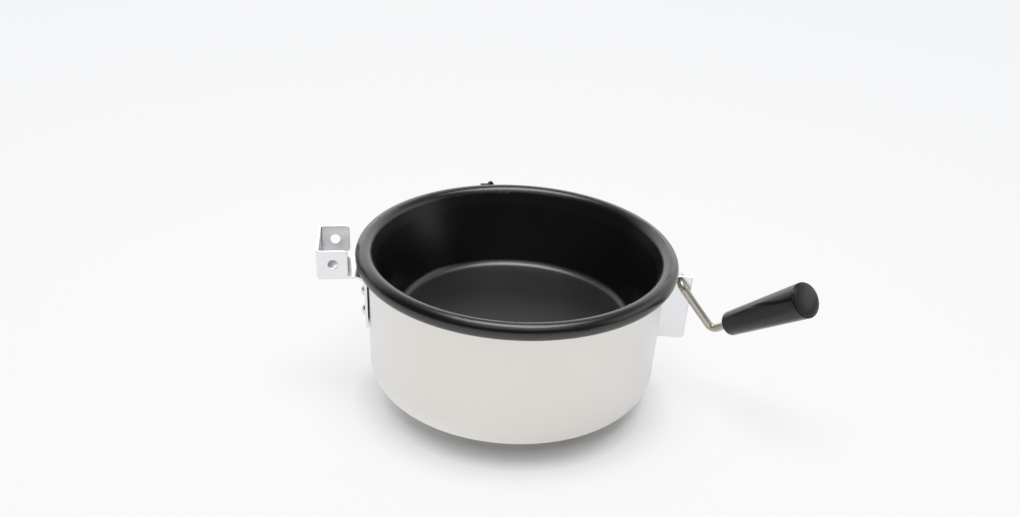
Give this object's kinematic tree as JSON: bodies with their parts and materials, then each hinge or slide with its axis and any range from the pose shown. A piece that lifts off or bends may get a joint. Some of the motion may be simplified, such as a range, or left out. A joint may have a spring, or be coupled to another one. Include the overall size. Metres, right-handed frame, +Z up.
{
  "type": "tilting electric popcorn kettle",
  "caption": "Round drawn kettle with a dark non-stick pan and rolled rim, hung by a clevis on one side and tipped by a cranked lever with a turning black grip on the other.",
  "frame": {"origin": "centre of the shell's flat base, on the surface it stands on", "axes": "+Z up through the pan's mouth; the hinge's clevis is towards -X, the lever's bracket towards +X, the electrical inlet towards +Y and the lever's grip points forwards, towards -Y"},
  "size_m": [0.3628, 0.265, 0.1222],
  "materials": {
    "non_stick_pan": "black non-stick coat inside, dark anodised rolled rim",
    "shell_metal": "satin drawn metal",
    "plated_sheet": "bright plated sheet",
    "inner_sheet": "plain sheet",
    "rivet_metal": "polished domed heads",
    "rod_plating": "nickel-plated round bar",
    "small_fasteners": "zinc-plated",
    "grip_plastic": "glossy moulded phenolic",
    "cap_plastic": "satin moulded plastic",
    "heat_plate_metal": "as rolled",
    "element_sheath": "oxidised tube",
    "insulation_fibre": "pressed mineral fibre",
    "ceramic": "ceramic",
    "contact_brass": "bare brass",
    "lead_sleeve": "woven high-temperature sleeve",
    "live_sleeve": "insulated lead",
    "neutral_sleeve": "insulated lead",
    "earth_sleeve": "insulated lead",
    "grommet_rubber": "soft rubber",
    "box_sheet": "satin sheet",
    "inlet_plastic": "moulded thermoset"
  },
  "bodies": {
    "kettle": {"inner_pan": "non_stick_pan", "outer_shell": "shell_metal", "hinge_bracket": "plated_sheet", "hinge_backing_plate": "inner_sheet", "hinge_rivets": "rivet_metal", "handle_bracket": "plated_sheet", "handle_backing_plate": "inner_sheet", "handle_bracket_rivets": "rivet_metal", "heat_plate": "heat_plate_metal", "heating_element": "element_sheath", "element_cover": "inner_sheet", "pan_stud": "small_fasteners", "cover_washer": "small_fasteners", "cover_nut": "small_fasteners", "heat_shield": "inner_sheet", "shield_post": "small_fasteners", "shield_spacer": "small_fasteners", "shield_nut": "small_fasteners", "insulation_mat": "insulation_fibre", "thermostat": "ceramic", "thermostat_screws": "small_fasteners", "thermal_cutout": "ceramic", "cutout_clip": "inner_sheet", "terminal_block": "ceramic", "terminal_screws": "contact_brass", "element_leads": "lead_sleeve", "live_lead": "live_sleeve", "neutral_lead": "neutral_sleeve", "earth_lead": "earth_sleeve", "earth_link": "earth_sleeve", "earth_screw": "contact_brass", "lead_grommet": "grommet_rubber", "inlet_box": "box_sheet", "inlet_body": "inlet_plastic", "inlet_pins": "contact_brass", "inlet_screws": "small_fasteners", "inlet_rivets_left": "rivet_metal", "inlet_rivets_right": "rivet_metal"},
    "handle": {"handle_rod": "rod_plating", "rear_washer": "small_fasteners", "spring_washer": "small_fasteners", "pivot_nut": "small_fasteners", "stop_ring": "small_fasteners", "grip_washer": "small_fasteners", "grip_nut": "small_fasteners"},
    "grip": {"handle_grip": "grip_plastic", "grip_cap": "cap_plastic"}
  },
  "joints": [
    {"name": "handle_pivot", "type": "hinge", "parent": "kettle", "child": "handle", "pos_m": [0.12387, 0, 0.08788], "axis": [0, -1, 0], "range_deg": [-40, 90]},
    {"name": "grip_spin", "type": "hinge", "parent": "handle", "child": "grip", "pos_m": [0.16091, -0.01828, 0.06325], "axis": [0.5202, -0.6156, 0.592], "continuous": true}
  ]
}
